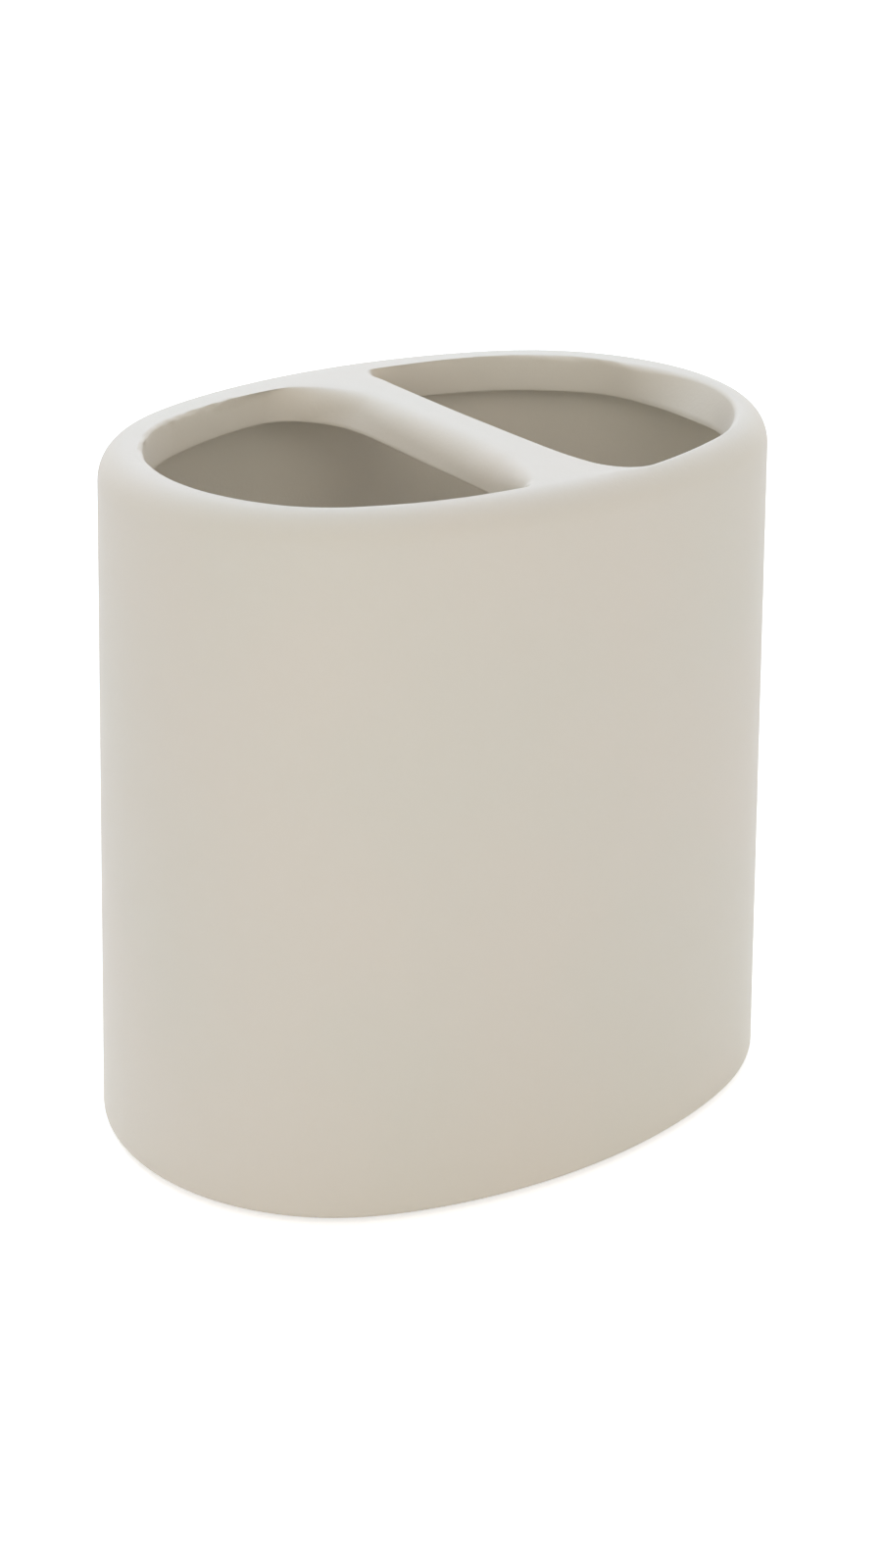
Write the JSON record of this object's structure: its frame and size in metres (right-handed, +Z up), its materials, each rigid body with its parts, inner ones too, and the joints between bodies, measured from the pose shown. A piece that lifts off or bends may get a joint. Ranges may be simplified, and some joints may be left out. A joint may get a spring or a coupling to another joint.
{
  "type": "toothbrush holder",
  "caption": "Free-standing oval ceramic toothbrush holder, hollow, with a rounded rim and two D-shaped openings parted by a cross bar.",
  "frame": {"origin": "centre of the footprint, on the shelf plane under the four pads", "axes": "+Z up, +X along the oval's long axis toward the right opening, +Y toward the rear, so the front is -Y"},
  "size_m": [0.1146, 0.0836, 0.1108],
  "materials": {
    "matte_glaze": "matte, warm off-white glaze",
    "soft_pad": "matte, milky soft pad"
  },
  "bodies": {
    "root": {"cup_body": "matte_glaze", "top_deck": "matte_glaze", "pad_front_left": "soft_pad", "pad_front_right": "soft_pad", "pad_rear_left": "soft_pad", "pad_rear_right": "soft_pad"}
  },
  "joints": []
}
